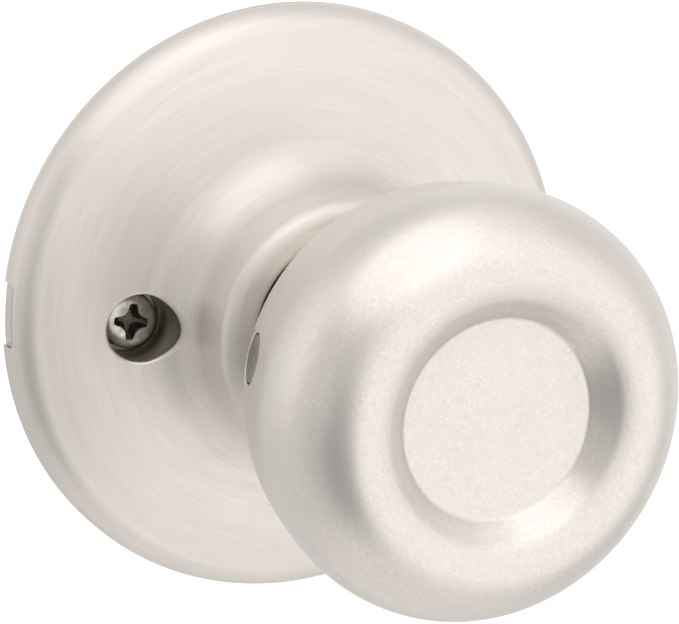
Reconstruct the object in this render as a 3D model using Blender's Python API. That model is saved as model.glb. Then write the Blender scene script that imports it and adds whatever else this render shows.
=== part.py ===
"""Turning half of a tubular door knob set: spun round rose, drawn knob and the parts between them.

Frame: +Z up, the door's face is the plane y = 0 and the knob stands out towards -Y. The origin is where
the knob's turning axis meets the door's face. Every piece is drawn in its own axes with local Z pointing
out of the door, local X to the right and local Y up, so "height" below is the distance off the door.
"""

import math

import bmesh
import bpy
from mathutils import Matrix, Vector

# Driving sizes, in metres.
ROSE_RADIUS = 0.0381
SHEET = 0.0009
GAP = 0.0003
COLLAR_RADIUS = 0.0170
COLLAR_TOP = 0.0211
COLLAR_OPENING = 0.0125
SHOULDER_RADIUS = 0.0040
SHOULDER_TOP = 0.0054
COVE_RADIUS = 0.0064
COVE_FLOOR = 0.0079

SCREW_OFFSET = 0.0225
SCREW_HOLE_RADIUS = 0.00430
WELL_WALL = 0.00055
WELL_BOTTOM = 0.0024
SCREW_RADIUS = 0.0020
SCREW_HEAD_RADIUS = 0.0036
SCREW_HEAD_SEAT = 0.0026
SCREW_HEAD_TOP = 0.0045
SCREW_TIP = -0.0300
PHILLIPS_SPAN = 0.0046
PHILLIPS_WIDTH = 0.0011
PHILLIPS_DEPTH = 0.0015

NOTCH_ANGLE = math.radians(177.1)
NOTCH_WIDTH = 0.0081
NOTCH_HEIGHT = 0.0029

PLATE_RADIUS = 0.0369
PLATE_THICK = 0.0016
PLATE_BORE = 0.0092

CAGE_RADIUS = 0.0146
CAGE_BASE = 0.0020
CAGE_TOP = 0.0135
CAGE_WALL = 0.0010
CAGE_LUG_REACH = 0.0208
CAGE_LUG_ANGLES = [math.radians(a) for a in (90.0, 210.0, 330.0)]
RIVET_REACH = 0.0180
RIVET_RADIUS = 0.0010

SLEEVE_RADIUS = 0.0086
SLEEVE_BORE = 0.0071
SLEEVE_BACK = 0.0004
SLEEVE_FRONT = 0.0500
SPINDLE_SIDE = 0.0070
SPINDLE_BACK = -0.0420
SPINDLE_FRONT = 0.0150
PIN_HEIGHT = 0.0110
PIN_RADIUS = 0.0010

NECK_RADIUS = 0.0117
NECK_BACK = 0.0165
KNOB_FRONT = 0.0645
DISH_FLOOR = 0.0609
DISH_RADIUS = 0.0119
CORE_FRONT = 0.0520

CATCH_ANGLE = math.radians(166.0)
CATCH_HEIGHT = 0.0450
CATCH_HOLE_RADIUS = 0.00305
CATCH_END = 0.0242
CATCH_GAP = 0.00015
CATCH_SLOPE = 0.24
CATCH_COLLAR_TOP = 0.0197

# The knob's outer outline between its neck and the rim of its dish, as (radius, height).
KNOB_OUTLINE = [
    (NECK_RADIUS, NECK_BACK),
    (NECK_RADIUS, 0.0195),
    (0.0123, 0.0232),
    (0.0140, 0.0278),
    (0.01645, 0.0328),
    (0.0193, 0.0362),
    (0.0219, 0.0389),
    (0.0240, 0.0435),
    (0.0252, 0.0489),
    (0.0258, 0.0540),
    (0.0250, 0.0584),
    (0.0226, 0.0618),
    (0.0199, 0.0639),
    (0.0174, KNOB_FRONT),
    (0.0150, 0.0638),
    (0.0133, 0.0624),
    (DISH_RADIUS + 0.0002, 0.0612),
]

NICKEL = ((0.62, 0.58, 0.54), 0.32, 1.0)
STEEL = ((0.52, 0.52, 0.53), 0.38, 1.0)
BRASS = ((0.72, 0.55, 0.28), 0.35, 1.0)
BLACK = ((0.05, 0.05, 0.05), 0.55, 0.6)

MERGE = 0.000002
ROUND_STEPS = 40
OUT_OF_DOOR = Matrix.Rotation(math.pi / 2, 4, "X")


def clear_scene():
    for obj in list(bpy.data.objects):
        bpy.data.objects.remove(obj, do_unlink=True)


def material(name, look):
    colour, roughness, metallic = look
    made = bpy.data.materials.new(name)
    made.use_nodes = True
    shader = made.node_tree.nodes["Principled BSDF"]
    shader.inputs["Base Color"].default_value = (*colour, 1.0)
    shader.inputs["Roughness"].default_value = roughness
    shader.inputs["Metallic"].default_value = metallic
    return made


# Outlines, as lists of (radius, height).


def arc(centre, radius, start, end, steps):
    """Points along a circle between two angles in degrees, both ends kept."""
    points = []
    for i in range(steps + 1):
        a = math.radians(start + (end - start) * i / steps)
        points.append((centre[0] + radius * math.cos(a), centre[1] + radius * math.sin(a)))
    return points


def inner_line(line, thickness):
    """The line moved to its left by a sheet's thickness."""
    moved = []
    for i, point in enumerate(line):
        before = Vector(line[max(i - 1, 0)])
        after = Vector(line[min(i + 1, len(line) - 1)])
        along = (after - before).normalized()
        moved.append((point[0] - along.y * thickness, point[1] + along.x * thickness))
    return moved


def sheet_outline(line, thickness):
    return [*line, *reversed(inner_line(line, thickness))]


def rose_line():
    """The rose's outer side, from the door's face up the skirt to the collar's opening."""
    shoulder = (ROSE_RADIUS - SHOULDER_RADIUS, SHOULDER_TOP - SHOULDER_RADIUS)
    cove = (COLLAR_RADIUS + COVE_RADIUS, COVE_FLOOR + COVE_RADIUS)
    lip_radius = 0.0019
    lip = (COLLAR_RADIUS - 0.0001 - lip_radius, COLLAR_TOP - lip_radius)
    return [
        (ROSE_RADIUS, 0.0),
        *arc(shoulder, SHOULDER_RADIUS, 0, 78, 4),
        (0.0300, 0.0067),
        *arc(cove, COVE_RADIUS, 264, 184, 5),
        *arc(lip, lip_radius, 5, 90, 4),
        (0.0136, 0.0210),
        (0.0128, 0.0206),
        (COLLAR_OPENING, 0.0199),
    ]


# Solids, drawn in local axes with Z out of the door.


def finish_object(name, bm, look, matrix=None, sharp=40.0):
    """Turn a bmesh into a named object standing out of the door."""
    bmesh.ops.recalc_face_normals(bm, faces=bm.faces)
    mesh = bpy.data.meshes.new(name)
    bm.to_mesh(mesh)
    bm.free()
    mesh.shade_smooth()
    mesh.set_sharp_from_angle(angle=math.radians(sharp))
    mesh.materials.append(material(name, look))
    obj = bpy.data.objects.new(name, mesh)
    bpy.context.scene.collection.objects.link(obj)
    obj.matrix_world = OUT_OF_DOOR @ (matrix or Matrix.Identity(4))
    return obj


def turned_bmesh(outline, steps):
    """Spin an outline about Z: a closed loop, or a line that starts and ends on the axis."""
    bm = bmesh.new()
    on_axis = outline[0][0] == 0.0
    rings = []
    for radius, height in outline:
        if radius == 0.0:
            rings.append([bm.verts.new((0.0, 0.0, height))] * steps)
            continue
        ring = []
        for i in range(steps):
            a = 2 * math.pi * i / steps
            ring.append(bm.verts.new((radius * math.cos(a), radius * math.sin(a), height)))
        rings.append(ring)
    pairs = list(zip(rings, rings[1:]))
    if not on_axis:
        pairs.append((rings[-1], rings[0]))
    for low, high in pairs:
        for i in range(steps):
            j = (i + 1) % steps
            corners = []
            for vert in (low[i], low[j], high[j], high[i]):
                if vert not in corners:
                    corners.append(vert)
            bm.faces.new(corners)
    return bm


def turned(name, outline, steps, look, matrix=None):
    return finish_object(name, turned_bmesh(outline, steps), look, matrix)


def rod_outline(radius, bottom, top):
    return [(0.0, bottom), (radius, bottom), (radius, top), (0.0, top)]


def tube_outline(outer, inner, bottom, top):
    return [(outer, bottom), (outer, top), (inner, top), (inner, bottom)]


def block(name, size, centre, look, matrix=None):
    bm = bmesh.new()
    bmesh.ops.create_cube(bm, size=1.0)
    bmesh.ops.scale(bm, vec=size, verts=bm.verts)
    bmesh.ops.translate(bm, vec=centre, verts=bm.verts)
    return finish_object(name, bm, look, matrix)


def around(angle, reach=0.0, height=0.0):
    """Local axes turned about the knob's axis, then moved out along their own X and off the door."""
    return Matrix.Rotation(angle, 4, "Z") @ Matrix.Translation((reach, 0.0, height))


def radial_axis(angle, height):
    """Local axes whose Z runs radially outwards from the knob's axis."""
    return around(angle, 0.0, height) @ Matrix.Rotation(math.pi / 2, 4, "Y")


def combine(obj, other, operation):
    """Apply a Boolean with a tool that is then removed."""
    cut = obj.modifiers.new(operation.lower(), "BOOLEAN")
    cut.operation = operation
    cut.solver = "EXACT"
    cut.object = other
    bpy.context.view_layer.update()
    shape = bpy.data.meshes.new_from_object(obj.evaluated_get(bpy.context.evaluated_depsgraph_get()))
    bm = bmesh.new()
    bm.from_mesh(shape)
    bmesh.ops.remove_doubles(bm, verts=bm.verts, dist=MERGE)
    bm.to_mesh(shape)
    bm.free()
    obj.modifiers.clear()
    obj.data = shape
    bpy.data.objects.remove(other, do_unlink=True)


def cut_hole(obj, radius, bottom, top, matrix, steps=24):
    combine(obj, turned("hole", rod_outline(radius, bottom, top), steps, STEEL, matrix), "DIFFERENCE")


def wire(name, path, radius, look, matrix=None, sides=8):
    """A round wire swept along a path, with flat ends."""
    bm = bmesh.new()
    rings = []
    side = (path[1] - path[0]).orthogonal()
    for i, point in enumerate(path):
        along = (path[min(i + 1, len(path) - 1)] - path[max(i - 1, 0)]).normalized()
        side = (side - along * side.dot(along)).normalized()
        other = along.cross(side)
        ring = []
        for k in range(sides):
            a = 2 * math.pi * k / sides
            ring.append(bm.verts.new(point + radius * (math.cos(a) * side + math.sin(a) * other)))
        rings.append(ring)
    for low, high in zip(rings, rings[1:]):
        for k in range(sides):
            bm.faces.new((low[k], low[(k + 1) % sides], high[(k + 1) % sides], high[k]))
    bm.faces.new(rings[0])
    bm.faces.new(rings[-1])
    return finish_object(name, bm, look, matrix)


def helix(radius, bottom, pitch, start, turns, per_turn):
    path = []
    count = round(turns * per_turn)
    for i in range(count + 1):
        a = start + 2 * math.pi * turns * i / count
        climb = bottom + pitch * turns * i / count
        path.append(Vector((radius * math.cos(a), radius * math.sin(a), climb)))
    return path


# The fixed pieces.


def rose_cover():
    """Spun sheet rose with two drawn screw wells and a notch in its skirt."""
    line = rose_line()
    mid_sheet = inner_line(line, SHEET / 2)
    below_mid_sheet = [(0.0, 0.0), *mid_sheet, (0.0, mid_sheet[-1][1])]
    rose = turned("rose_cover", sheet_outline(line, SHEET), ROUND_STEPS, NICKEL)
    for angle in (0.0, math.pi):
        place = around(angle, SCREW_OFFSET)
        envelope = turned("envelope", below_mid_sheet, ROUND_STEPS, NICKEL)
        wall = rod_outline(SCREW_HOLE_RADIUS + WELL_WALL, WELL_BOTTOM, 0.018)
        well = turned("well", wall, 24, NICKEL, place)
        combine(well, envelope, "INTERSECT")
        combine(rose, well, "UNION")
        cut_hole(rose, SCREW_HOLE_RADIUS, 0.0005, 0.020, place)
    notch = block(
        "notch",
        (0.0050, NOTCH_WIDTH, 2 * NOTCH_HEIGHT),
        (ROSE_RADIUS, 0.0, 0.0),
        NICKEL,
        around(NOTCH_ANGLE),
    )
    combine(rose, notch, "DIFFERENCE")
    return rose


def mounting_plate():
    """Stamped plate behind the rose: sleeve bore, screw seats, rivet holes and the rim tab in the notch."""
    disc = tube_outline(PLATE_RADIUS, PLATE_BORE, 0.0, PLATE_THICK)
    plate = turned("mounting_plate", disc, ROUND_STEPS, STEEL)
    tab_out = ROSE_RADIUS - 0.0002
    tab_in = PLATE_RADIUS - 0.0012
    tab_size = (tab_out - tab_in, NOTCH_WIDTH - 2 * GAP, NOTCH_HEIGHT - 2 * GAP)
    tab_centre = ((tab_out + tab_in) / 2, 0.0, NOTCH_HEIGHT / 2)
    combine(plate, block("tab", tab_size, tab_centre, STEEL, around(NOTCH_ANGLE)), "UNION")
    for angle in (0.0, math.pi):
        place = around(angle, SCREW_OFFSET)
        seat = turned("seat", rod_outline(0.0037, 0.0008, SCREW_HEAD_SEAT - GAP), 24, STEEL, place)
        combine(plate, seat, "UNION")
        cut_hole(plate, SCREW_RADIUS + 0.0005, -0.001, 0.005, place)
    for angle in CAGE_LUG_ANGLES:
        cut_hole(plate, RIVET_RADIUS + GAP, -0.001, 0.005, around(angle, RIVET_REACH), steps=12)
    return plate


def spring_cage():
    """Cup over the return spring, with a stop inside and three riveted lugs."""
    lug_top = CAGE_BASE + CAGE_WALL
    outline = [
        (CAGE_RADIUS, CAGE_BASE),
        (CAGE_RADIUS, CAGE_TOP),
        (0.0099, CAGE_TOP),
        (0.0099, CAGE_TOP - CAGE_WALL),
        (CAGE_RADIUS - CAGE_WALL, CAGE_TOP - CAGE_WALL),
        (CAGE_RADIUS - CAGE_WALL, CAGE_BASE),
    ]
    cage = turned("spring_cage", outline, 40, STEEL)
    for angle in CAGE_LUG_ANGLES:
        inner = CAGE_RADIUS - CAGE_WALL / 2
        size = (CAGE_LUG_REACH - inner, 0.0070, CAGE_WALL)
        centre = ((CAGE_LUG_REACH + inner) / 2, 0.0, (CAGE_BASE + lug_top) / 2)
        combine(cage, block("lug", size, centre, STEEL, around(angle)), "UNION")
        cut_hole(cage, RIVET_RADIUS + GAP, 0.0, 0.006, around(angle, RIVET_REACH), steps=12)
    stop_size = (0.0026, 0.0034, CAGE_TOP - CAGE_WALL / 2 - 0.0096)
    stop_centre = (0.0127, 0.0, (CAGE_TOP - CAGE_WALL / 2 + 0.0096) / 2)
    combine(cage, block("stop", stop_size, stop_centre, STEEL, around(math.pi / 2)), "UNION")
    return cage


def cage_rivets():
    head_bottom = CAGE_BASE + CAGE_WALL + GAP
    outline = [
        (0.0, 0.0002),
        (RIVET_RADIUS, 0.0002),
        (RIVET_RADIUS, head_bottom),
        (0.0020, head_bottom),
        (0.0019, head_bottom + 0.0004),
        (0.0012, head_bottom + 0.0009),
        (0.0, head_bottom + 0.0010),
    ]
    for number, angle in enumerate(CAGE_LUG_ANGLES, 1):
        turned(f"cage_rivet_{number}", outline, 12, STEEL, around(angle, RIVET_REACH))


def bearing_bush():
    inner = SLEEVE_RADIUS + 0.0002
    turned("bearing_bush", tube_outline(0.0096, inner, CAGE_TOP - 0.0022, CAGE_TOP), 32, BRASS)


def return_spring():
    """Torsion spring whose two legs straddle the cage's stop and the cam's finger."""
    coil_radius = 0.0102
    leg_radius = 0.0122
    spread = math.radians(15.0)
    low, high = 0.0065, 0.0104
    turns = 3.0 - spread / math.pi
    coil = helix(coil_radius, low, (high - low) / 3.0, math.pi / 2 + spread, turns, 20)

    def leg(angle, from_height, to_height):
        direction = Vector((math.cos(angle), math.sin(angle), 0.0))
        up = Vector((0.0, 0.0, 1.0))
        bend = 0.0006 * (1 if to_height > from_height else -1)
        return [
            direction * (leg_radius - 0.0006) + up * from_height,
            direction * leg_radius + up * (from_height + bend),
            direction * leg_radius + up * to_height,
        ]

    first = leg(math.pi / 2 + spread, coil[0].z, 0.0119)
    last = leg(math.pi / 2 - spread, coil[-1].z, 0.0064)
    wire("return_spring", [*reversed(first), *coil, *last], 0.00055, STEEL)


def phillips_cutter(matrix):
    """A cross that narrows towards its bottom."""
    tools = []
    for turn in (0.0, math.pi / 2):
        bm = bmesh.new()
        corners = []
        for height, scale in ((SCREW_HEAD_TOP + 0.0005, 1.1), (SCREW_HEAD_TOP - PHILLIPS_DEPTH, 0.5)):
            for x, y in ((-1, -1), (1, -1), (1, 1), (-1, 1)):
                place = (x * scale * PHILLIPS_SPAN / 2, y * scale**0.5 * PHILLIPS_WIDTH / 2, height)
                corners.append(bm.verts.new(place))
        bm.faces.new(corners[:4])
        bm.faces.new(corners[4:])
        for i in range(4):
            j = (i + 1) % 4
            bm.faces.new((corners[i], corners[j], corners[4 + j], corners[4 + i]))
        tools.append(finish_object("cross", bm, STEEL, matrix @ Matrix.Rotation(turn, 4, "Z")))
    combine(tools[0], tools[1], "UNION")
    return tools[0]


def mounting_screws():
    """Pan head machine screws that reach the other half's posts inside the door."""
    outline = [
        (0.0, SCREW_TIP),
        (SCREW_RADIUS * 0.6, SCREW_TIP),
        (SCREW_RADIUS, SCREW_TIP + 0.0010),
        (SCREW_RADIUS, SCREW_HEAD_SEAT),
        (SCREW_HEAD_RADIUS, SCREW_HEAD_SEAT),
        (SCREW_HEAD_RADIUS, SCREW_HEAD_TOP - 0.0009),
        (SCREW_HEAD_RADIUS * 0.88, SCREW_HEAD_TOP - 0.0003),
        (SCREW_HEAD_RADIUS * 0.66, SCREW_HEAD_TOP),
        (0.0, SCREW_HEAD_TOP),
    ]
    for name, angle, twist in (("left", math.pi, 12.0), ("right", 0.0, 47.0)):
        place = around(angle, SCREW_OFFSET) @ Matrix.Rotation(math.radians(twist), 4, "Z")
        screw = turned(f"mounting_screw_{name}", outline, 24, STEEL, place)
        combine(screw, phillips_cutter(place), "DIFFERENCE")


# The pieces that turn with the knob.


def knob_shell():
    """Drawn hollow knob with a dished face and the catch's hole in its shoulder."""
    line = [*KNOB_OUTLINE, (DISH_RADIUS - 0.0004, DISH_FLOOR), (0.0, DISH_FLOOR)]
    inside = inner_line(line, SHEET)
    inside[-1] = (0.0, DISH_FLOOR - SHEET)
    bm = turned_bmesh([(0.0, DISH_FLOOR), *reversed(line[:-1]), *inside], ROUND_STEPS)
    shell = finish_object("knob_shell", bm, NICKEL)
    cut_hole(shell, CATCH_HOLE_RADIUS, 0.018, 0.030, radial_axis(CATCH_ANGLE, CATCH_HEIGHT))
    return shell


def knob_core():
    """Tube that carries the shell on the drive sleeve, with the catch's guide standing out of it."""
    inner, outer = SLEEVE_RADIUS + GAP, NECK_RADIUS - SHEET - GAP
    core = turned("knob_core", tube_outline(outer, inner, NECK_BACK, CORE_FRONT), 40, STEEL)
    place = radial_axis(CATCH_ANGLE, CATCH_HEIGHT)
    guide = turned("guide", rod_outline(0.0047, outer - 0.0012, 0.0210), 24, STEEL, place)
    combine(core, guide, "UNION")
    cut_hole(core, 0.0036, 0.0107, 0.0200, place)
    cut_hole(core, CATCH_HOLE_RADIUS, 0.0195, 0.0220, place)
    cut_hole(core, 0.0019, 0.0060, 0.0110, place, steps=16)
    return core


def front_disc():
    """Pressed disc and boss that back the knob's bulb and its dished face."""
    rim, boss, wall = 0.0240, 0.0098, 0.0010
    bottom = CORE_FRONT + 0.0004
    top = DISH_FLOOR - SHEET - 0.0004
    outline = [
        (0.0, top),
        (boss, top),
        (boss, bottom + wall + 0.0007),
        (boss + 0.0007, bottom + wall),
        (rim, bottom + wall),
        (rim, bottom),
        (boss - wall, bottom),
        (boss - wall, top - wall),
        (0.0, top - wall),
    ]
    turned("front_disc", outline, 40, STEEL)


def drive_sleeve():
    """Tube that turns in the bush and carries the knob's core, with a groove for the retaining ring."""
    groove_low, groove_high, groove_radius = 0.0145, 0.0157, 0.0080
    outline = [
        (SLEEVE_RADIUS, SLEEVE_BACK),
        (SLEEVE_RADIUS, groove_low),
        (groove_radius, groove_low),
        (groove_radius, groove_high),
        (SLEEVE_RADIUS, groove_high),
        (SLEEVE_RADIUS, SLEEVE_FRONT),
        (SLEEVE_BORE, SLEEVE_FRONT),
        (SLEEVE_BORE, SLEEVE_BACK),
    ]
    sleeve = turned("drive_sleeve", outline, 40, STEEL)
    cut_hole(sleeve, 0.0019, 0.0060, 0.0100, radial_axis(CATCH_ANGLE, CATCH_HEIGHT), steps=16)
    cut_hole(sleeve, PIN_RADIUS + GAP, -0.010, 0.010, radial_axis(0.0, PIN_HEIGHT), steps=12)
    return sleeve


def drive_cam():
    """Ring on the sleeve whose finger winds the return spring either way."""
    cam = turned("drive_cam", tube_outline(0.0130, SLEEVE_RADIUS + 0.0002, 0.0036, 0.0052), 40, STEEL)
    finger = block("finger", (0.0016, 0.0030, 0.0048), (0.0121, 0.0, 0.0068), STEEL, around(math.pi / 2))
    combine(cam, finger, "UNION")
    return cam


def thrust_washer():
    turned("thrust_washer", tube_outline(0.0115, 0.0089, 0.0138, 0.0143), 32, BRASS)


def retaining_ring():
    """C-shaped ring in the sleeve's groove."""
    ring = turned("retaining_ring", tube_outline(0.0108, 0.0083, 0.0147, 0.0155), 32, BLACK)
    mouth = block("mouth", (0.0060, 0.0050, 0.0040), (0.0100, 0.0, 0.0151), STEEL, around(math.pi / 2))
    combine(ring, mouth, "DIFFERENCE")
    return ring


def spindle_hub():
    """Bush in the sleeve with a square socket for the spindle."""
    hub = turned("spindle_hub", rod_outline(SLEEVE_BORE - GAP, 0.0010, 0.0170), 32, STEEL)
    side = SPINDLE_SIDE + 2 * GAP
    combine(hub, block("socket", (side, side, 0.0165), (0.0, 0.0, 0.00725), STEEL), "DIFFERENCE")
    cut_hole(hub, PIN_RADIUS + GAP, -0.010, 0.010, radial_axis(0.0, PIN_HEIGHT), steps=12)
    return hub


def spindle():
    """Square bar that drives the latch, with chamfered ends."""
    bm = bmesh.new()
    tip = 0.0006
    rings = []
    for height, side in (
        (SPINDLE_BACK, SPINDLE_SIDE - 2 * tip),
        (SPINDLE_BACK + tip, SPINDLE_SIDE),
        (SPINDLE_FRONT - tip, SPINDLE_SIDE),
        (SPINDLE_FRONT, SPINDLE_SIDE - 2 * tip),
    ):
        corners = ((-1, -1), (1, -1), (1, 1), (-1, 1))
        rings.append([bm.verts.new((x * side / 2, y * side / 2, height)) for x, y in corners])
    for low, high in zip(rings, rings[1:]):
        for i in range(4):
            j = (i + 1) % 4
            bm.faces.new((low[i], low[j], high[j], high[i]))
    bm.faces.new(rings[0])
    bm.faces.new(rings[-1])
    bar = finish_object("spindle", bm, STEEL)
    cut_hole(bar, PIN_RADIUS + GAP, -0.010, 0.010, radial_axis(0.0, PIN_HEIGHT), steps=12)
    return bar


def spindle_pin():
    reach = SLEEVE_RADIUS - 0.0003
    pin = rod_outline(PIN_RADIUS, -reach, reach)
    turned("spindle_pin", pin, 12, STEEL, radial_axis(0.0, PIN_HEIGHT))


# The knob's catch.


def knob_catch():
    """Sprung plunger that locks the knob on the sleeve. Its end follows the slope of the shell."""
    button, collar, stem = CATCH_HOLE_RADIUS - CATCH_GAP, 0.0033, 0.0016
    outline = [
        (0.0, 0.0073),
        (stem, 0.0073),
        (stem, 0.0155),
        (collar, 0.0155),
        (collar, CATCH_COLLAR_TOP),
        (button, CATCH_COLLAR_TOP),
        (button, CATCH_END),
        (0.0, CATCH_END),
    ]
    bm = turned_bmesh(outline, 24)
    for vert in bm.verts:
        if vert.co.z > CATCH_END - 0.0001:
            vert.co.z -= CATCH_SLOPE * vert.co.x
    return finish_object("knob_catch", bm, STEEL, radial_axis(CATCH_ANGLE, CATCH_HEIGHT))


def catch_spring():
    coil = helix(0.0026, 0.0113, 0.00105, 0.0, 3.4, 12)
    wire("catch_spring", coil, 0.0003, STEEL, radial_axis(CATCH_ANGLE, CATCH_HEIGHT), sides=6)


def build():
    clear_scene()
    rose_cover()
    mounting_plate()
    spring_cage()
    cage_rivets()
    bearing_bush()
    return_spring()
    mounting_screws()
    knob_shell()
    knob_core()
    front_disc()
    drive_sleeve()
    drive_cam()
    thrust_washer()
    retaining_ring()
    spindle_hub()
    spindle()
    spindle_pin()
    knob_catch()
    catch_spring()


build()
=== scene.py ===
"""Looks for the satin nickel door knob: fine turned pieces, screws, materials, light and camera."""

import math

import bmesh
import bpy
import numpy as np
from mathutils import Matrix, Vector


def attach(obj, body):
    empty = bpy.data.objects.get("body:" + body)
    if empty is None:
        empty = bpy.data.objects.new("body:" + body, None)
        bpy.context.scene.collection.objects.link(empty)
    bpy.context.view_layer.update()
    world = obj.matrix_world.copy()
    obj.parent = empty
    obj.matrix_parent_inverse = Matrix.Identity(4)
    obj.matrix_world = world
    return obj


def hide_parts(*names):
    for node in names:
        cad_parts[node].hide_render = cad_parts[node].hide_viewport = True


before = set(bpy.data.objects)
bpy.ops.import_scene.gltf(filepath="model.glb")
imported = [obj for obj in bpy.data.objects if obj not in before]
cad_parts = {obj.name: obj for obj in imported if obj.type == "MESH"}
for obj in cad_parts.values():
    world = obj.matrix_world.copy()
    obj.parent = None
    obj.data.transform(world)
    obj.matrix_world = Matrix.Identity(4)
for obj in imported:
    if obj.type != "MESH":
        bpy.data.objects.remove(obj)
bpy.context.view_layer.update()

# Sizes in metres, as in the CAD model. Height is the distance off the door, along -Y.
SHEET = 0.0009
ROSE_RADIUS = 0.0381
COLLAR_RADIUS = 0.0170
COLLAR_TOP = 0.0211
COLLAR_OPENING = 0.0125
SHOULDER_RADIUS = 0.0040
SHOULDER_TOP = 0.0054
COVE_RADIUS = 0.0064
COVE_FLOOR = 0.0079
COLLAR_DRAFT = 0.0001
LIP_RADIUS = 0.0019
RIM_FILLET = 0.0002
RIM_POINTS = 4
HEM_DEPTH = 0.0001
HEM_HEIGHTS = (0.0005, 0.0007, 0.0009, 0.0012)
SHOULDER_END = 78
COVE_START = 264
COVE_END = 184

SCREW_OFFSET = 0.0225
HOLE_RADIUS = 0.00430
HOLE_ROUNDING = 0.0005
WELL_WALL = 0.00055
WELL_BOTTOM = 0.0024
SCREW_RADIUS = 0.0020
SCREW_HEAD_RADIUS = 0.0036
SCREW_SEAT = 0.0026
SCREW_TOP = 0.0045
SCREW_TIP = -0.0300
THREAD_PITCH = 0.00079375
THREAD_DEPTH = 0.00034
THREAD_TOP = -0.0040
THREAD_FADE = 0.0012
THREAD_STEEPNESS = 2.6
STEPS_PER_PITCH = 8
HEAD_DOME = 0.0011
HEAD_EDGE = 0.00015
CROSS_REACH = 0.00235
CROSS_HALF_WIDTH = 0.00052
CROSS_KNEE = 0.00150
# Depth under the top of the head, and how far the cross reaches there.
CROSS_LEVELS = ((-0.0006, 1.30), (0.0002, 1.03), (0.0004, 0.95), (0.0011, 0.80), (0.0016, 0.52))

NOTCH_ANGLE = math.radians(177.1)
NOTCH_WIDTH = 0.0081
NOTCH_HEIGHT = 0.0029
NOTCH_ROUNDING = 0.0007

PLATE_RADIUS = 0.0369
PLATE_BORE = 0.0092
PLATE_THICK = 0.0016
PLATE_SEAT_RADIUS = 0.0037
PLATE_SEAT_TOP = 0.0023
RIVET_REACH = 0.0180
RIVET_HOLE_RADIUS = 0.0013
RIVET_ANGLES = [math.radians(a) for a in (90.0, 210.0, 330.0)]
TAB_INNER = 0.0357
TAB_OUTER = 0.0378
TAB_ROUNDING = 0.0003
NIB_REACH = 0.0376
# How far each nib stands across the notch and above the door, and its size.
NIBS = ((0.0, 0.0017, 0.0011), (0.0034, 0.0013, 0.0008))

NECK_RADIUS = 0.0117
NECK_BACK = 0.0165
KNOB_FRONT = 0.0645
DISH_FLOOR = 0.0609
DISH_RADIUS = 0.0119
CATCH_ANGLE = math.radians(166.0)
CATCH_HEIGHT = 0.0450
CATCH_HOLE_RADIUS = 0.00305
CATCH_END = 0.0242
CATCH_GAP = 0.00015
CATCH_SLOPE = 0.24
CATCH_STEM_RADIUS = 0.0016
CATCH_STEM_START = 0.0073
CATCH_COLLAR_RADIUS = 0.0033
CATCH_COLLAR_START = 0.0155
CATCH_COLLAR_END = 0.0197
COUNTERSINK = 0.00012

SPINDLE_SIDE = 0.0070
SPINDLE_BACK = -0.0420
SPINDLE_FRONT = 0.0150
SPINDLE_CORNER = 0.0005
SPINDLE_TIP = 0.0006
PIN_HEIGHT = 0.0110
PIN_HOLE_RADIUS = 0.0013

KNOB_OUTLINE = [
    (NECK_RADIUS, NECK_BACK),
    (NECK_RADIUS, 0.0195),
    (0.0123, 0.0232),
    (0.0140, 0.0278),
    (0.01645, 0.0328),
    (0.0193, 0.0362),
    (0.0219, 0.0389),
    (0.0240, 0.0435),
    (0.0252, 0.0489),
    (0.0258, 0.0540),
    (0.0250, 0.0584),
    (0.0226, 0.0618),
    (0.0199, 0.0639),
    (0.0174, KNOB_FRONT),
    (0.0150, 0.0638),
    (0.0133, 0.0624),
    (DISH_RADIUS + 0.0002, 0.0612),
]

ROUND = 240
MERGE = 0.000002
OUT_OF_DOOR = Matrix.Rotation(math.pi / 2, 4, "X")


# Outlines, as lists of (radius, height).


def arc(centre, radius, start, end, steps):
    points = []
    for i in range(steps + 1):
        a = math.radians(start + (end - start) * i / steps)
        points.append((centre[0] + radius * math.cos(a), centre[1] + radius * math.sin(a)))
    return points


def smooth_line(keys, steps):
    """A Catmull-Rom curve through the keys."""
    padded = [keys[0], *keys, keys[-1]]
    line = []
    for i in range(1, len(padded) - 2):
        before, here, there, after = (Vector(padded[i + k]) for k in (-1, 0, 1, 2))
        for step in range(steps):
            t = step / steps
            point = 0.5 * (
                2 * here
                + (there - before) * t
                + (2 * before - 5 * here + 4 * there - after) * t**2
                + (3 * here - before - 3 * there + after) * t**3
            )
            line.append(tuple(point))
    return [*line, keys[-1]]


def inner_line(line, thickness):
    """The sheet's other side: each point moved square to the line."""
    moved = []
    for i, point in enumerate(line):
        before = Vector(line[max(i - 1, 0)])
        after = Vector(line[min(i + 1, len(line) - 1)])
        along = (after - before).normalized()
        moved.append((point[0] - along.y * thickness, point[1] + along.x * thickness))
    return moved


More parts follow.
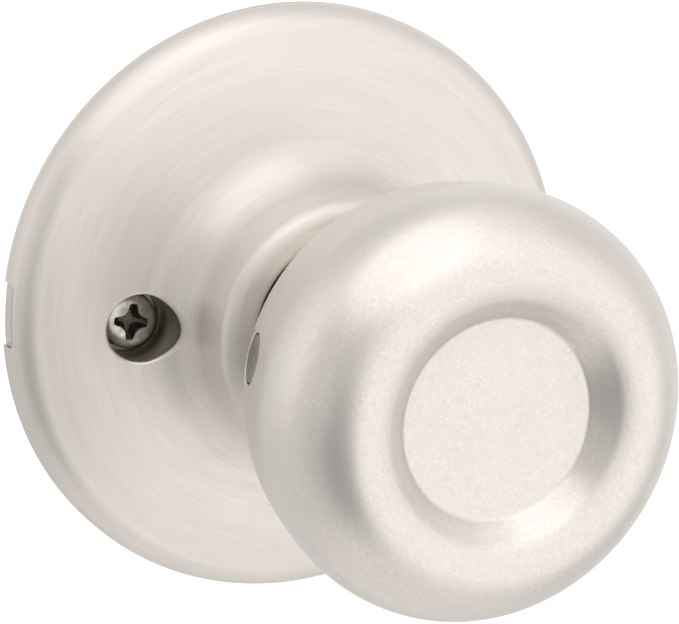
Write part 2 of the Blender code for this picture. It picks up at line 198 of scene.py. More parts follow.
def rose_line():
    """The rose's outer side, from the door's face up the skirt to the collar's opening."""
    shoulder = (ROSE_RADIUS - SHOULDER_RADIUS, SHOULDER_TOP - SHOULDER_RADIUS)
    cove = (COLLAR_RADIUS + COVE_RADIUS, COVE_FLOOR + COVE_RADIUS)
    lip = (COLLAR_RADIUS - COLLAR_DRAFT - LIP_RADIUS, COLLAR_TOP - LIP_RADIUS)
    rim = arc((ROSE_RADIUS - RIM_FILLET, RIM_FILLET), RIM_FILLET, -90, 0, RIM_POINTS - 1)
    hem_reaches = (ROSE_RADIUS, ROSE_RADIUS - HEM_DEPTH, ROSE_RADIUS - HEM_DEPTH, ROSE_RADIUS)
    dome_start = arc(shoulder, SHOULDER_RADIUS, SHOULDER_END, SHOULDER_END, 1)[0]
    dome_end = arc(cove, COVE_RADIUS, COVE_START, COVE_START, 1)[0]
    dome = smooth_line([dome_start, (0.0300, 0.0067), dome_end], 12)
    inner_keys = [(lip[0], COLLAR_TOP), (0.0136, 0.0210), (0.0128, 0.0206), (COLLAR_OPENING, 0.0199)]
    inner = smooth_line(inner_keys, 6)
    return [
        *rim,
        *zip(hem_reaches, HEM_HEIGHTS),
        *arc(shoulder, SHOULDER_RADIUS, 0, SHOULDER_END, 16)[:-1],
        *dome[:-1],
        *arc(cove, COVE_RADIUS, COVE_START, COVE_END, 26),
        *arc(lip, LIP_RADIUS, 5, 90, 14)[:-1],
        *inner,
    ]


def height_on(line, radius):
    """The rose's outer height at a radius outside its collar."""
    outside = [p for p in line if p[0] > COLLAR_RADIUS]
    outside.sort()
    return float(np.interp(radius, [p[0] for p in outside], [p[1] for p in outside]))


# Meshes.


def add_object(name, data):
    obj = bpy.data.objects.new(name, data)
    bpy.context.scene.collection.objects.link(obj)
    return obj


def finish_object(name, bm, matrix=None, sharp=32.0):
    """Turn a mesh built about local Z, which points out of the door, into an object."""
    bmesh.ops.recalc_face_normals(bm, faces=bm.faces)
    bm.transform(OUT_OF_DOOR @ (matrix or Matrix.Identity(4)))
    mesh = bpy.data.meshes.new(name)
    bm.to_mesh(mesh)
    bm.free()
    obj = add_object(name, mesh)
    shade(obj, sharp)
    return obj


def shade(obj, sharp=32.0):
    obj.data.shade_smooth()
    obj.data.set_sharp_from_angle(angle=math.radians(sharp))


def circle(bm, radius, height, steps):
    """A ring of points about Z."""
    ring = []
    for i in range(steps):
        a = 2 * math.pi * i / steps
        ring.append(bm.verts.new((radius * math.cos(a), radius * math.sin(a), height)))
    return ring


def loft(bm, rings):
    """Walls from ring to ring, and a flat face over the first and the last."""
    for low, high in zip(rings, rings[1:]):
        for i in range(len(low)):
            j = (i + 1) % len(low)
            bm.faces.new((low[i], low[j], high[j], high[i]))
    bm.faces.new(rings[0])
    bm.faces.new(rings[-1])


def turned_bmesh(outline, steps):
    """Spin an outline about Z: a closed loop, or a line that starts and ends on the axis."""
    bm = bmesh.new()
    on_axis = outline[0][0] == 0.0
    rings = []
    for radius, height in outline:
        if radius == 0.0:
            rings.append([bm.verts.new((0.0, 0.0, height))] * steps)
        else:
            rings.append(circle(bm, radius, height, steps))
    pairs = list(zip(rings, rings[1:]))
    if not on_axis:
        pairs.append((rings[-1], rings[0]))
    for low, high in pairs:
        for i in range(steps):
            j = (i + 1) % steps
            # A point on the axis stands for its whole ring, so it is taken once.
            corners = []
            for vert in (low[i], low[j], high[j], high[i]):
                if vert not in corners:
                    corners.append(vert)
            bm.faces.new(corners)
    return bm


def turned(name, outline, steps, matrix=None, sharp=32.0):
    return finish_object(name, turned_bmesh(outline, steps), matrix, sharp)


def softened(outline, bevel):
    """Round each corner of an outline with three points."""
    soft = []
    last = len(outline) - 1
    for i, point in enumerate(outline):
        here = Vector(point)
        if (i in (0, last) and outline[0][0] == 0.0) or point[0] == 0.0:
            soft.append(point)
            continue
        before, after = Vector(outline[i - 1]), Vector(outline[(i + 1) % len(outline)])
        reach_in = min(bevel, (before - here).length * 0.45)
        reach_out = min(bevel, (after - here).length * 0.45)
        start = here + (before - here).normalized() * reach_in
        end = here + (after - here).normalized() * reach_out
        soft += [tuple(start), tuple(start * 0.25 + here * 0.5 + end * 0.25), tuple(end)]
    return soft


def tube_outline(outer, inner, bottom, top):
    return [(outer, bottom), (outer, top), (inner, top), (inner, bottom)]


def rod_outline(radius, bottom, top):
    return [(0.0, bottom), (radius, bottom), (radius, top), (0.0, top)]


def block(name, size, centre, matrix=None):
    bm = bmesh.new()
    bmesh.ops.create_cube(bm, size=1.0)
    bmesh.ops.scale(bm, vec=size, verts=bm.verts)
    bmesh.ops.translate(bm, vec=centre, verts=bm.verts)
    return finish_object(name, bm, matrix)


def around(angle, reach=0.0, height=0.0):
    """A place at an angle about the knob's axis, with X pointing outwards."""
    return Matrix.Rotation(angle, 4, "Z") @ Matrix.Translation((reach, 0.0, height))


def radial_axis(angle, height):
    """A place on the knob's axis, with Z pointing outwards at the angle."""
    return around(angle, 0.0, height) @ Matrix.Rotation(math.pi / 2, 4, "Y")


def combine(obj, other, operation, sharp=32.0):
    """Apply a Boolean with a tool that is then removed."""
    cut = obj.modifiers.new(operation.lower(), "BOOLEAN")
    cut.operation = operation
    cut.solver = "EXACT"
    cut.object = other
    bpy.context.view_layer.update()
    shape = bpy.data.meshes.new_from_object(obj.evaluated_get(bpy.context.evaluated_depsgraph_get()))
    obj.modifiers.clear()
    obj.data = shape
    bpy.data.objects.remove(other, do_unlink=True)
    bm = bmesh.new()
    bm.from_mesh(shape)
    bmesh.ops.remove_doubles(bm, verts=bm.verts, dist=MERGE)
    bm.to_mesh(shape)
    bm.free()
    shade(obj, sharp)
    return obj


def dress(obj, *materials):
    """Give an object its materials, in place of any that its shape came with."""
    obj.data.materials.clear()
    for material in materials:
        obj.data.materials.append(material)


def cut_hole(obj, radius, bottom, top, matrix, chamfer=0.0, faces=(), steps=72):
    """A round hole. Each (height, side) in faces is given a chamfer that widens up, 1, or down, -1."""
    combine(obj, turned("hole", rod_outline(radius, bottom, top), steps, matrix), "DIFFERENCE")
    for height, side in faces:
        cone = [
            (0.0, height - side * 2 * chamfer),
            (radius - chamfer, height - side * 2 * chamfer),
            (radius + 2 * chamfer, height + side * chamfer),
            (0.0, height + side * chamfer),
        ]
        combine(obj, turned("chamfer", cone, steps, matrix), "DIFFERENCE")


def store_outline_length(obj, line):
    """Store how far along the outline each point lies, for brushing that follows the turned form."""
    points = np.array(line)
    lengths = np.concatenate([[0.0], np.cumsum(np.linalg.norm(np.diff(points, axis=0), axis=1))])
    co = np.empty(len(obj.data.vertices) * 3)
    obj.data.vertices.foreach_get("co", co)
    co = co.reshape(-1, 3)
    place = np.stack([np.hypot(co[:, 0], co[:, 2]), -co[:, 1]], axis=-1)
    nearest = np.empty(len(place))
    batch = 20000
    for start in range(0, len(place), batch):
        part = place[start:start + batch]
        gaps = np.linalg.norm(part[:, None, :] - points[None, :, :], axis=2)
        close = gaps.argmin(1)
        close = np.clip(close, 1, len(points) - 2)
        before = gaps[np.arange(len(part)), close - 1]
        after = gaps[np.arange(len(part)), close + 1]
        blend = (before - after) / (before + after + 1e-12)
        step = np.where(blend > 0, lengths[close + 1] - lengths[close], lengths[close] - lengths[close - 1])
        nearest[start:start + batch] = lengths[close] + blend * step
    obj.data.attributes.new("along", "FLOAT", "POINT").data.foreach_set("value", nearest)


# Materials.


class Shading:
    """A node tree with short calls for the nodes used here."""

    def __init__(self, name):
        self.material = bpy.data.materials.new(name)
        self.material.use_nodes = True
        self.tree = self.material.node_tree
        self.shader = self.tree.nodes["Principled BSDF"]

    def node(self, kind, **settings):
        made = self.tree.nodes.new(kind)
        for key, value in settings.items():
            setattr(made, key, value)
        return made

    def feed(self, socket, source):
        if isinstance(source, bpy.types.NodeSocket):
            self.tree.links.new(source, socket)
        else:
            socket.default_value = source

    def math(self, operation, *values):
        made = self.node("ShaderNodeMath", operation=operation)
        for socket, value in zip(made.inputs, values):
            self.feed(socket, value)
        return made.outputs[0]

    def vector(self, x, y, z):
        made = self.node("ShaderNodeCombineXYZ")
        for socket, value in zip(made.inputs, (x, y, z)):
            self.feed(socket, value)
        return made.outputs[0]

    def noise(self, vector, scale, detail=2.0, rough=0.5):
        made = self.node("ShaderNodeTexNoise")
        self.feed(made.inputs["Vector"], vector)
        self.feed(made.inputs["Scale"], scale)
        self.feed(made.inputs["Detail"], detail)
        self.feed(made.inputs["Roughness"], rough)
        return made.outputs["Fac"]

    def spread(self, value, low, high, start=0.25, end=0.75):
        """Map a value from start..end to low..high."""
        made = self.node("ShaderNodeMapRange")
        names = ("Value", "From Min", "From Max", "To Min", "To Max")
        for key, entry in zip(names, (value, start, end, low, high)):
            self.feed(made.inputs[key], entry)
        return made.outputs[0]

    def mix_colour(self, amount, first, second):
        made = self.node("ShaderNodeMix", data_type="RGBA")
        self.feed(made.inputs["Factor"], amount)
        self.feed(made.inputs["A"], first)
        self.feed(made.inputs["B"], second)
        return made.outputs["Result"]

    def bump(self, height, strength, distance, normal=None):
        made = self.node("ShaderNodeBump")
        self.feed(made.inputs["Height"], height)
        self.feed(made.inputs["Strength"], strength)
        self.feed(made.inputs["Distance"], distance)
        if normal:
            self.feed(made.inputs["Normal"], normal)
        return made.outputs[0]

    def place(self):
        """Position in the row frame, as x, y and z, and the position itself."""
        position = self.node("ShaderNodeTexCoord").outputs["Object"]
        split = self.node("ShaderNodeSeparateXYZ")
        self.feed(split.inputs[0], position)
        return (*split.outputs, position)


def nickel(name, roughness, around_streak, across_streak, streak, grain, anisotropy, collar_rough=0.0):
    """Satin nickel brushed around the knob's axis, with some grain that has no direction."""
    s = Shading(name)
    x, y, z, position = s.place()
    radius = s.math("SQRT", s.math("ADD", s.math("MULTIPLY", x, x), s.math("MULTIPLY", z, z)))
    safe = s.math("MAXIMUM", radius, 0.0005)
    turn_x = s.math("MULTIPLY", s.math("DIVIDE", x, safe), around_streak)
    turn_z = s.math("MULTIPLY", s.math("DIVIDE", z, safe), around_streak)
    reach = s.node("ShaderNodeAttribute", attribute_name="along").outputs["Fac"]
    across = s.math("MULTIPLY", reach, across_streak)
    brushed = s.vector(turn_x, turn_z, across)
    fine = s.noise(brushed, 1.0, 3.0, 0.6)
    broad = s.noise(s.vector(turn_x, turn_z, s.math("MULTIPLY", across, 0.13)), 0.7, 2.0)
    speckle = s.noise(position, 2600.0, 2.0, 0.6)
    smudge = s.noise(position, 75.0, 3.0, 0.55)
    front = s.spread(s.math("MULTIPLY", y, -1.0), 0.35, 1.0, 0.050, 0.062)
    speckled = s.math("MULTIPLY", s.math("MULTIPLY", s.spread(speckle, -1.0, 1.0), grain), front)
    tone = s.math("ADD", s.math("MULTIPLY", s.spread(fine, -1.0, 1.0), streak), speckled)
    tone = s.math("ADD", tone, s.math("MULTIPLY", s.spread(broad, -1.0, 1.0), streak * 0.3))
    amount = s.math("ADD", tone, s.spread(smudge, 0.42, 0.58))
    s.feed(s.shader.inputs["Base Color"], s.mix_colour(amount, (*NICKEL_SHADE, 1.0), (*NICKEL, 1.0)))
    s.shader.inputs["Metallic"].default_value = NICKEL_METALLIC
    rough = s.math("ADD", roughness, s.math("MULTIPLY", tone, -0.10))
    if collar_rough:
        rough = s.math("ADD", rough, s.spread(radius, collar_rough, 0.0, 0.0205, 0.0245))
    s.feed(s.shader.inputs["Roughness"], s.math("ADD", rough, s.spread(smudge, -0.012, 0.012)))
    s.shader.inputs["Anisotropic"].default_value = anisotropy
    if anisotropy:
        tangent = s.node("ShaderNodeTangent", direction_type="RADIAL", axis="Y")
        s.feed(s.shader.inputs["Tangent"], tangent.outputs[0])
        s.shader.inputs["Anisotropic Rotation"].default_value = 0.25
    rough_bump = s.bump(fine, 0.10, 0.000012)
    s.feed(s.shader.inputs["Normal"], s.bump(speckle, 0.10, 0.000008, rough_bump))
    return s.material


def plain_metal(name, colour, dull_colour, roughness, scale=420.0, mottling=0.35, stretch=(1.0, 1.0, 1.0)):
    """Unpolished metal with mottled plating and small marks."""
    s = Shading(name)
    *axes, _ = s.place()
    drawn = s.vector(*(s.math("MULTIPLY", axis, factor) for axis, factor in zip(axes, stretch)))
    mottle = s.noise(drawn, scale, 4.0, 0.6)
    marks = s.noise(drawn, scale * 6.0, 2.0, 0.7)
    amount = s.spread(mottle, 0.5 - mottling, 0.5 + mottling)
    s.feed(s.shader.inputs["Base Color"], s.mix_colour(amount, (*dull_colour, 1.0), (*colour, 1.0)))
    s.shader.inputs["Metallic"].default_value = 1.0
    rough = s.math("ADD", s.spread(mottle, roughness + 0.08, roughness - 0.04), s.spread(marks, -0.03, 0.03))
    s.feed(s.shader.inputs["Roughness"], rough)
    s.feed(s.shader.inputs["Normal"], s.bump(marks, 0.15, 0.00001))
    return s.material


def white_floor():
    s = Shading("floor_white")
    s.shader.inputs["Base Color"].default_value = (0.93, 0.93, 0.93, 1.0)
    s.shader.inputs["Roughness"].default_value = 0.9
    s.shader.inputs["Emission Color"].default_value = (1.0, 1.0, 1.0, 1.0)
    s.shader.inputs["Emission Strength"].default_value = 0.35
    return s.material


NICKEL = (0.800, 0.755, 0.715)
NICKEL_SHADE = (0.670, 0.620, 0.580)
NICKEL_METALLIC = 0.88

rose_nickel = nickel("rose_satin_nickel", 0.35, 4.0, 9000.0, 0.36, 0.12, 0.78, 0.07)
knob_nickel = nickel("knob_satin_nickel", 0.30, 7.0, 4200.0, 0.12, 0.36, 0.30)
# Darker, mottled nickel for the walls inside the screw wells and the catch's hole: painted shade for these
# recesses.
well_painted_shade = plain_metal("well_painted_shade_nickel", (0.46, 0.430, 0.360), (0.24, 0.225, 0.185), 0.36, 260.0)
screw_steel = plain_metal("screw_nickel_plate", (0.88, 0.85, 0.80), (0.30, 0.28, 0.25), 0.24, 1100.0)
# Dark steel for the screw's cross recess: painted shade in the recess.
recess_painted_shade = plain_metal("recess_painted_shade_steel", (0.26, 0.23, 0.20), (0.07, 0.06, 0.055), 0.40, 1400.0)
plate_zinc = plain_metal("plate_bright_zinc", (0.78, 0.745, 0.715), (0.60, 0.57, 0.545), 0.36, 160.0)
inner_zinc = plain_metal("inner_zinc", (0.58, 0.58, 0.59), (0.42, 0.42, 0.43), 0.36, 240.0)
rivet_steel = plain_metal("rivet_plain_steel", (0.50, 0.50, 0.50), (0.33, 0.33, 0.33), 0.33, 700.0)
bearing_brass = plain_metal("bearing_brass", (0.78, 0.58, 0.28), (0.55, 0.39, 0.17), 0.30, 300.0)
spring_wire = plain_metal("spring_wire", (0.40, 0.40, 0.42), (0.25, 0.25, 0.27), 0.30, 600.0)
ring_black = plain_metal("ring_phosphate_black", (0.05, 0.05, 0.05), (0.025, 0.025, 0.025), 0.50, 500.0)
spindle_drawn = plain_metal(
    "spindle_drawn_zinc", (0.60, 0.60, 0.62), (0.44, 0.44, 0.46), 0.31, 700.0, stretch=(1.0, 0.06, 1.0)
)
catch_steel = plain_metal(
    "catch_tumbled_steel", (0.50, 0.465, 0.440), (0.13, 0.12, 0.11), 0.42, 1300.0, mottling=0.22
)


# The fixed pieces.


def well_cutter(line, place):
    """The screw hole's bore, flaring into a rounded lip that follows the rose's surface."""
    steps = 96
    below_well, above_rose = 0.0006, 0.0200
    flares = [math.radians(a) for a in (0, 12, 24, 36, 48, 60, 70, 78)]
    bm = bmesh.new()
    columns = []
    for i in range(steps):
        turn = 2 * math.pi * i / steps
        column = [(HOLE_RADIUS, below_well)]
        for flare in flares:
            reach = HOLE_RADIUS + HOLE_ROUNDING * (1 - math.cos(flare))
            radius = math.hypot(SCREW_OFFSET + reach * math.cos(turn), reach * math.sin(turn))
            column.append((reach, height_on(line, radius) - HOLE_ROUNDING * (1 - math.sin(flare))))
        column.append((column[-1][0] + 0.0004, column[-1][1] + 0.0020))
        columns.append([bm.verts.new((r * math.cos(turn), r * math.sin(turn), h)) for r, h in column])
    for i in range(steps):
        here, there = columns[i], columns[(i + 1) % steps]
        for k in range(len(here) - 1):
            bm.faces.new((here[k], there[k], there[k + 1], here[k + 1]))
    bm.faces.new([column[0] for column in columns])
    peak = bm.verts.new((0.0, 0.0, above_rose))
    for i in range(steps):
        bm.faces.new((columns[i][-1], columns[(i + 1) % steps][-1], peak))
    return finish_object("well_cutter", bm, place)


def paint_shade_on_faces(obj, test, index):
    """Give the faces whose centre passes a test, in local axes, another material slot, which holds a darker
    colour painted as shade.
    """
    back = OUT_OF_DOOR.inverted()
    for face in obj.data.polygons:
        if test(back @ face.center):
            face.material_index = index


def rose_piece():
    line = rose_line()
    upright = [(ROSE_RADIUS, 0.0), *line[RIM_POINTS + len(HEM_HEIGHTS):]]
    mid_sheet = inner_line(upright, SHEET / 2)
    below_mid_sheet = [(0.0, 0.0), *mid_sheet, (0.0, mid_sheet[-1][1])]
    rose = turned("rose", [*line, *reversed(inner_line(upright, SHEET))], ROUND)
    for angle in (0.0, math.pi):
        place = around(angle, SCREW_OFFSET)
        envelope = turned("envelope", below_mid_sheet, ROUND)
        well = turned("well", rod_outline(HOLE_RADIUS + WELL_WALL, WELL_BOTTOM, 0.018), 96, place)
        combine(well, envelope, "INTERSECT")
        combine(rose, well, "UNION")
        combine(rose, well_cutter(line, place), "DIFFERENCE")
    bm = bmesh.new()
    bmesh.ops.create_cube(bm, size=1.0)
    bmesh.ops.scale(bm, vec=(0.0050, NOTCH_WIDTH, 2 * NOTCH_HEIGHT), verts=bm.verts)
    bmesh.ops.translate(bm, vec=(ROSE_RADIUS, 0.0, 0.0), verts=bm.verts)
    bmesh.ops.bevel(bm, geom=bm.edges[:], offset=NOTCH_ROUNDING, segments=4, affect="EDGES", profile=0.5)
    combine(rose, finish_object("notch", bm, around(NOTCH_ANGLE)), "DIFFERENCE")
    dress(rose, rose_nickel, well_painted_shade)

    def in_well(point):
        side = math.hypot(abs(point.x) - SCREW_OFFSET, point.y)
        top = height_on(line, math.hypot(point.x, point.y))
        return side < HOLE_RADIUS + 0.00006 and point.z < top - HOLE_ROUNDING - 0.0001

    # The walls inside the screw wells get slot 1, darker nickel painted as shade.
    paint_shade_on_faces(rose, in_well, 1)
    store_outline_length(rose, line)
    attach(rose, "rose")
    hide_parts("rose_cover")


def phillips_cutter(matrix):
    """A cross recess with rounded lobes between its arms, tapering inwards."""
    side, half_width = CROSS_REACH * 0.985, CROSS_HALF_WIDTH * 0.8
    lobe = (CROSS_KNEE - CROSS_HALF_WIDTH) * 1.15
    knee = CROSS_KNEE * 1.15
    quarter = [(side, -half_width), (CROSS_REACH, 0.0), (side, half_width)]
    for i in range(7):
        a = math.radians(-90 - 90 * i / 6)
        quarter.append((knee + lobe * math.cos(a), knee + lobe * math.sin(a)))
    bm = bmesh.new()
    rings = []
    for depth, reach in CROSS_LEVELS:
        ring = []
        for turn in range(4):
            c, s = math.cos(turn * math.pi / 2), math.sin(turn * math.pi / 2)
            for x, y in quarter:
                turned_x, turned_y = x * c - y * s, x * s + y * c
                ring.append(bm.verts.new((turned_x * reach, turned_y * reach, SCREW_TOP - depth)))
        rings.append(ring)
    loft(bm, rings)
    return finish_object("cross", bm, matrix)


def screw_shank_rings():
    """Heights up the shank, closer together where the thread is cut."""
    count = int((THREAD_TOP - SCREW_TIP) / THREAD_PITCH * STEPS_PER_PITCH)
    return [SCREW_TIP + i * THREAD_PITCH / STEPS_PER_PITCH for i in range(count + 1)]


def thread_radius(height, turn, thread_end):
    """The shank's radius at a height and a part of a turn, with a pointed start and a faded end."""
    phase = (height / THREAD_PITCH - turn) % 1.0
    cut = max(0.0, 1.0 - abs(phase - 0.5) * THREAD_STEEPNESS)
    fade = min(1.0, (thread_end - height) / THREAD_FADE)
    taper = min(1.0, 0.62 + (height - SCREW_TIP) / 0.0016)
    return min(SCREW_RADIUS * taper, SCREW_RADIUS - THREAD_DEPTH * cut * fade)


def screw_piece(side, angle, twist):
    """Pan head machine screw with a real helical thread."""
    place = around(angle, SCREW_OFFSET) @ Matrix.Rotation(math.radians(twist), 4, "Z")
    steps = 32
    bm = bmesh.new()
    rings = []
    slopes = [math.radians(a) for a in range(0, 90, 8)]
    heights = screw_shank_rings()
    for height in heights:
        ring = []
        for i in range(steps):
            turn = i / steps
            r = thread_radius(height, turn, heights[-1])
            a = 2 * math.pi * turn
            ring.append(bm.verts.new((r * math.cos(a), r * math.sin(a), height)))
        rings.append(ring)
    dome_base = SCREW_TOP - HEAD_DOME
    head = [
        (SCREW_RADIUS, SCREW_SEAT - 0.0002),
        (SCREW_RADIUS + 0.0002, SCREW_SEAT),
        (SCREW_HEAD_RADIUS - HEAD_EDGE, SCREW_SEAT),
        (SCREW_HEAD_RADIUS, SCREW_SEAT + HEAD_EDGE),
        *[(SCREW_HEAD_RADIUS * math.cos(a), dome_base + HEAD_DOME * math.sin(a)) for a in slopes],
    ]
    for radius, height in head:
        rings.append(circle(bm, radius, height, steps))
    loft(bm, rings)
    screw = finish_object(f"screw_{side}", bm, place)
    combine(screw, phillips_cutter(place), "DIFFERENCE", 30.0)
    dress(screw, screw_steel, recess_painted_shade)

    def in_recess(point):
        reach = math.hypot(abs(point.x) - SCREW_OFFSET, point.y)
        return reach < 0.0024 and SCREW_TOP - 0.0018 < point.z < SCREW_TOP - 0.00045

    # The faces inside the cross recess get slot 1, dark steel painted as shade.
    paint_shade_on_faces(screw, in_recess, 1)
    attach(screw, "rose")
    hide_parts(f"mounting_screw_{side}")


def tab_piece():
    """The part of the plate that fills the rose's notch, with its two nibs."""
    top = NOTCH_HEIGHT - 0.0002
    ring = [
        (TAB_OUTER - 0.0002, 0.0),
        (TAB_OUTER, TAB_ROUNDING),
        (TAB_OUTER, top - TAB_ROUNDING),
        (TAB_OUTER - TAB_ROUNDING, top),
        (TAB_INNER, top),
        (TAB_INNER, 0.0),
    ]
    tab = turned("tab", ring, ROUND)
    keep = block("keep", (0.006, NOTCH_WIDTH - 0.0003, 0.01), (0.0380, 0.0, 0.0), around(NOTCH_ANGLE))
    combine(tab, keep, "INTERSECT")
    for across, height, size in NIBS:
        nib = bmesh.new()
        bmesh.ops.create_uvsphere(nib, u_segments=20, v_segments=12, radius=size / 2)
        bmesh.ops.scale(nib, vec=(0.5, 1.0, 0.8), verts=nib.verts)
        bmesh.ops.translate(nib, vec=(NIB_REACH, across, height), verts=nib.verts)
        combine(tab, finish_object("nib", nib, around(NOTCH_ANGLE)), "UNION")
    return tab


def plate_piece():
    """Stamped mounting plate with softened edges, screw seats and the tab in the rose's notch."""
    outline = softened(tube_outline(PLATE_RADIUS, PLATE_BORE, 0.0, PLATE_THICK), 0.0002)
    plate = turned("plate", outline, ROUND)
    combine(plate, tab_piece(), "UNION")
    for angle in (0.0, math.pi):
        place = around(angle, SCREW_OFFSET)
        seat = [
            (0.0, PLATE_THICK / 2),
            (PLATE_SEAT_RADIUS, PLATE_THICK / 2),
            (PLATE_SEAT_RADIUS, PLATE_SEAT_TOP - 0.0002),
            (PLATE_SEAT_RADIUS - 0.0002, PLATE_SEAT_TOP),
            (0.0, PLATE_SEAT_TOP),
        ]
        combine(plate, turned("seat", seat, 72, place), "UNION")
        cut_hole(plate, SCREW_RADIUS + 0.0005, -0.001, 0.005, place, 0.0002, [(0.0, -1)])
    for angle in RIVET_ANGLES:
        place = around(angle, RIVET_REACH)
        cut_hole(plate, RIVET_HOLE_RADIUS, -0.001, 0.005, place, 0.0001, [(0.0, -1)], 32)
    dress(plate, plate_zinc)
    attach(plate, "rose")
    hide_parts("mounting_plate")


# The pieces that turn with the knob.


def knob_line():
    """The knob's outer side, from the neck's end over the front ring to the middle of the dish."""
    return [
        *smooth_line(KNOB_OUTLINE, 10)[:-1],
        (DISH_RADIUS + 0.0002, 0.0612),
        (DISH_RADIUS, 0.06102),
        (DISH_RADIUS - 0.0003, DISH_FLOOR),
        (0.0080, DISH_FLOOR),
        (0.0040, DISH_FLOOR),
        (0.0012, DISH_FLOOR),
        (0.0, DISH_FLOOR),
    ]


def knob_piece():
    line = knob_line()
    inside = inner_line(line, SHEET)
    inside[-1] = (0.0, DISH_FLOOR - SHEET)
    knob = finish_object("knob", turned_bmesh([*reversed(line), *inside], ROUND))
    place = radial_axis(CATCH_ANGLE, CATCH_HEIGHT)
    cut_hole(knob, CATCH_HOLE_RADIUS, 0.018, 0.030, place)
    chamfer_hole(knob, line, place)
    dress(knob, knob_nickel, well_painted_shade)

    def in_hole(point):
        outward = Vector((math.cos(CATCH_ANGLE), math.sin(CATCH_ANGLE), 0.0))
        across = point - outward * point.dot(outward)
        across.z -= CATCH_HEIGHT
        return across.length < CATCH_HOLE_RADIUS + 0.00004 and 0.020 < point.dot(outward)

    # The walls of the catch's hole get slot 1, darker nickel painted as shade.
    paint_shade_on_faces(knob, in_hole, 1)
    store_outline_length(knob, line)
    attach(knob, "knob")
    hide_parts("knob_shell")


def chamfer_hole(knob, line, place):
    """A narrow countersink that follows the shell's slope around the catch's hole."""
    steps = 72
    side_points = 120
    heights = [p[1] for p in line[:side_points]]
    radii = [p[0] for p in line[:side_points]]
    bm = bmesh.new()
    columns = []
    for i in range(steps):
        turn = 2 * math.pi * i / steps
        column = []
        for reach, lift in ((CATCH_HOLE_RADIUS - 0.0002, -0.0004), (CATCH_HOLE_RADIUS + 0.0004, 0.0002)):
            up = -reach * math.cos(turn)
            sideways = reach * math.sin(turn)
            outer = float(np.interp(CATCH_HEIGHT + up, heights, radii))
            column.append((reach, math.sqrt(outer**2 - sideways**2) + lift - COUNTERSINK + 0.0002))
        columns.append([bm.verts.new((r * math.cos(turn), r * math.sin(turn), h)) for r, h in column])
    for i in range(steps):
        here, there = columns[i], columns[(i + 1) % steps]
        bm.faces.new((here[0], there[0], there[1], here[1]))
    low = bm.verts.new((0.0, 0.0, 0.0225))
    high = bm.verts.new((0.0, 0.0, 0.0270))
    for i in range(steps):
        here, there = columns[i], columns[(i + 1) % steps]
        bm.faces.new((here[0], there[0], low))
        bm.faces.new((here[1], there[1], high))
    combine(knob, finish_object("countersink", bm, place), "DIFFERENCE")


def catch_piece():
    """Sprung plunger whose tumbled end shows in the shell's hole."""
    button_radius = CATCH_HOLE_RADIUS - CATCH_GAP
    outline = softened([
        (0.0, CATCH_STEM_START),
        (CATCH_STEM_RADIUS, CATCH_STEM_START),
        (CATCH_STEM_RADIUS, CATCH_COLLAR_START),
        (CATCH_COLLAR_RADIUS, CATCH_COLLAR_START),
        (CATCH_COLLAR_RADIUS, CATCH_COLLAR_END),
        (button_radius, CATCH_COLLAR_END),
        (button_radius, CATCH_END),
        (0.0, CATCH_END),
    ], 0.00025)
    bm = turned_bmesh(outline, 64)
    for vert in bm.verts:
        if vert.co.z > CATCH_END - 0.0003:
            vert.co.z -= CATCH_SLOPE * vert.co.x
    catch = finish_object("catch_button", bm, radial_axis(CATCH_ANGLE, CATCH_HEIGHT))
    dress(catch, catch_steel)
    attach(catch, "catch")
    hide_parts("knob_catch")


def spindle_piece():
    """Square bar with rolled corners and chamfered ends."""
    middle = SPINDLE_SIDE / 2 - SPINDLE_CORNER
    section = []
    for turn, (sx, sy) in enumerate(((1, 1), (-1, 1), (-1, -1), (1, -1))):
        for i in range(5):
            a = math.radians(90 * turn + 90 * i / 4)
            x = sx * middle + SPINDLE_CORNER * math.cos(a)
            y = sy * middle + SPINDLE_CORNER * math.sin(a)
            section.append((x, y))
    narrow = 1 - 2 * SPINDLE_TIP / SPINDLE_SIDE
    levels = (
        (SPINDLE_BACK, narrow),
        (SPINDLE_BACK + SPINDLE_TIP, 1.0),
        (SPINDLE_FRONT - SPINDLE_TIP, 1.0),
        (SPINDLE_FRONT, narrow),
    )
    bm = bmesh.new()
    loft(bm, [[bm.verts.new((x * scale, y * scale, height)) for x, y in section] for height, scale in levels])
    bar = finish_object("spindle_bar", bm)
    cut_hole(bar, PIN_HOLE_RADIUS, -0.010, 0.010, radial_axis(0.0, PIN_HEIGHT), steps=24)
    dress(bar, spindle_drawn)
    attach(bar, "knob")
    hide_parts("spindle")


# CAD nodes whose shape stays, and the material that each one gets.
KEPT_LOOKS = {
    "spring_cage": plate_zinc,
    "cage_rivet_1": rivet_steel,
    "cage_rivet_2": rivet_steel,
    "cage_rivet_3": rivet_steel,
    "bearing_bush": bearing_brass,
    "return_spring": spring_wire,
    "knob_core": inner_zinc,
    "front_disc": inner_zinc,
    "drive_sleeve": inner_zinc,
    "drive_cam": inner_zinc,
    "thrust_washer": bearing_brass,
    "retaining_ring": ring_black,
    "spindle_hub": inner_zinc,
    "spindle_pin": rivet_steel,
    "catch_spring": spring_wire,
}


def dress_kept_nodes():
    for node, look in KEPT_LOOKS.items():
        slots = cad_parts[node].material_slots
        if not slots:
            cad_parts[node].data.materials.append(look)
        for slot in slots:
            slot.material = look


# Studio.


CAMERA_AZIMUTH = math.radians(-23.55)
CAMERA_ELEVATION = math.radians(14.82)
CAMERA_DISTANCE = 0.480
CAMERA_LENS = 198.4
SIGHT_RIGHT = 0.00723
SIGHT_UP = -0.00221


def direction(azimuth, elevation):
    """A unit vector: azimuth 0 is straight out of the door, and grows to the right."""
    out = math.cos(elevation)
    return Vector((math.sin(azimuth) * out, -math.cos(azimuth) * out, math.sin(elevation)))


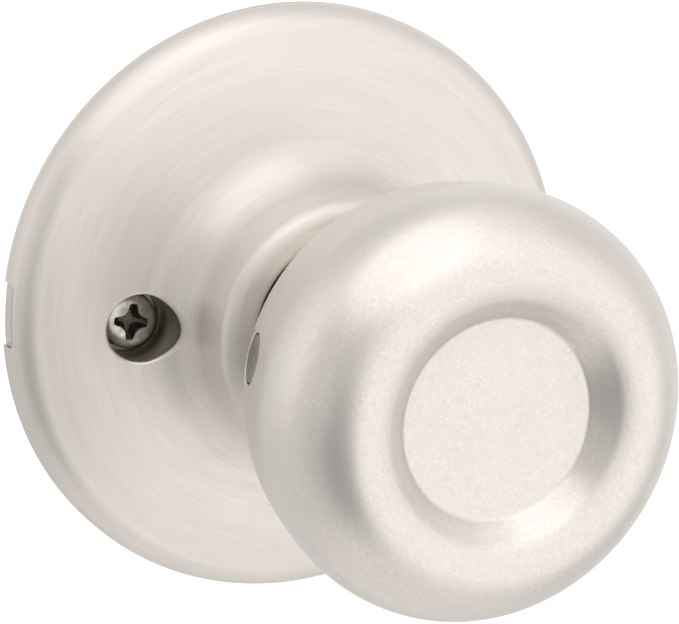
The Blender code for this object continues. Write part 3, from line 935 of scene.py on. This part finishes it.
def camera():
    """Looks at the rose from the left and above, aimed a little right of its centre and below it."""
    back = direction(CAMERA_AZIMUTH, CAMERA_ELEVATION)
    right = Vector((math.cos(CAMERA_AZIMUTH), math.sin(CAMERA_AZIMUTH), 0.0))
    up = right.cross(-back)
    data = bpy.data.cameras.new("camera")
    data.sensor_width = 36.0
    data.lens = CAMERA_LENS
    data.clip_start = 0.01
    data.clip_end = 50.0
    obj = add_object("camera", data)
    obj.location = back * CAMERA_DISTANCE
    target = right * SIGHT_RIGHT + up * SIGHT_UP
    obj.rotation_euler = (target - obj.location).to_track_quat("-Z", "Y").to_euler()
    bpy.context.scene.camera = obj


def soft_room():
    """A pale room: an even glow with broad bright panels and a few shaded sides."""
    world = bpy.data.worlds.new("soft_room")
    bpy.context.scene.world = world
    world.use_nodes = True
    tree = world.node_tree
    background = tree.nodes["Background"]
    ray = tree.nodes.new("ShaderNodeTexCoord").outputs["Generated"]
    level = None
    for azimuth, elevation, inner, outer, gain in ROOM_PANELS:
        dot = tree.nodes.new("ShaderNodeVectorMath")
        dot.operation = "DOT_PRODUCT"
        tree.links.new(ray, dot.inputs[0])
        dot.inputs[1].default_value = direction(math.radians(azimuth), math.radians(elevation))
        fade = tree.nodes.new("ShaderNodeMapRange")
        fade.interpolation_type = "SMOOTHSTEP"
        tree.links.new(dot.outputs["Value"], fade.inputs["Value"])
        fade.inputs["From Min"].default_value = math.cos(math.radians(outer))
        fade.inputs["From Max"].default_value = math.cos(math.radians(inner))
        fade.inputs["To Min"].default_value = 0.0
        fade.inputs["To Max"].default_value = gain
        add = tree.nodes.new("ShaderNodeMath")
        add.operation = "ADD"
        tree.links.new(fade.outputs[0], add.inputs[0])
        if level is None:
            add.inputs[1].default_value = ROOM_GLOW
        else:
            tree.links.new(level, add.inputs[1])
        level = add.outputs[0]
    never_black = tree.nodes.new("ShaderNodeMath")
    never_black.operation = "MAXIMUM"
    tree.links.new(level, never_black.inputs[0])
    never_black.inputs[1].default_value = ROOM_LEAST
    tree.links.new(never_black.outputs[0], background.inputs["Strength"])
    background.inputs["Color"].default_value = (1.0, 0.995, 0.985, 1.0)


ROOM_GLOW = 0.73
ROOM_LEAST = 0.05
# Azimuth and elevation of each panel's middle, its inner and outer half angles, and what it adds.
ROOM_PANELS = [
    (28.0, 2.0, 22.0, 78.0, 0.51),
    (-15.0, 78.0, 10.0, 60.0, 0.34),
    (140.0, 5.0, 10.0, 55.0, 0.24),
    (-125.0, 20.0, 10.0, 45.0, 0.12),
    (0.0, -88.0, 10.0, 50.0, 0.16),
    (-44.0, -24.0, 4.0, 36.0, -0.42),
    (-48.0, 14.0, 3.0, 22.0, -0.14),
    (-112.0, 18.0, 6.0, 36.0, 0.20),
]


FLOOR_HEIGHT = -0.25


def floor():
    """A plain pale floor that the metal doesn't reflect."""
    bm = bmesh.new()
    bmesh.ops.create_grid(bm, x_segments=1, y_segments=1, size=6.0)
    mesh = bpy.data.meshes.new("floor")
    bm.to_mesh(mesh)
    bm.free()
    obj = add_object("floor", mesh)
    obj.location.z = FLOOR_HEIGHT
    obj.data.materials.append(white_floor())
    obj.visible_glossy = False


def area_light(name, azimuth, elevation, distance, size, watts):
    """A round lamp at a distance from the origin, facing it."""
    data = bpy.data.lights.new(name, "AREA")
    data.shape = "DISK"
    data.size = size
    data.energy = watts
    obj = add_object(name, data)
    towards = direction(math.radians(azimuth), math.radians(elevation))
    obj.location = towards * distance
    obj.rotation_euler = towards.to_track_quat("Z", "Y").to_euler()


def studio():
    view = bpy.context.scene.view_settings
    view.view_transform = "Standard"
    view.look = "None"
    soft_room()
    floor()
    area_light("top_softbox", -38.0, 66.0, 1.5, 1.9, 3.4)


camera()
studio()
rose_piece()
plate_piece()
screw_piece("left", math.pi, -9.0)
screw_piece("right", 0.0, 47.0)
knob_piece()
catch_piece()
spindle_piece()
dress_kept_nodes()
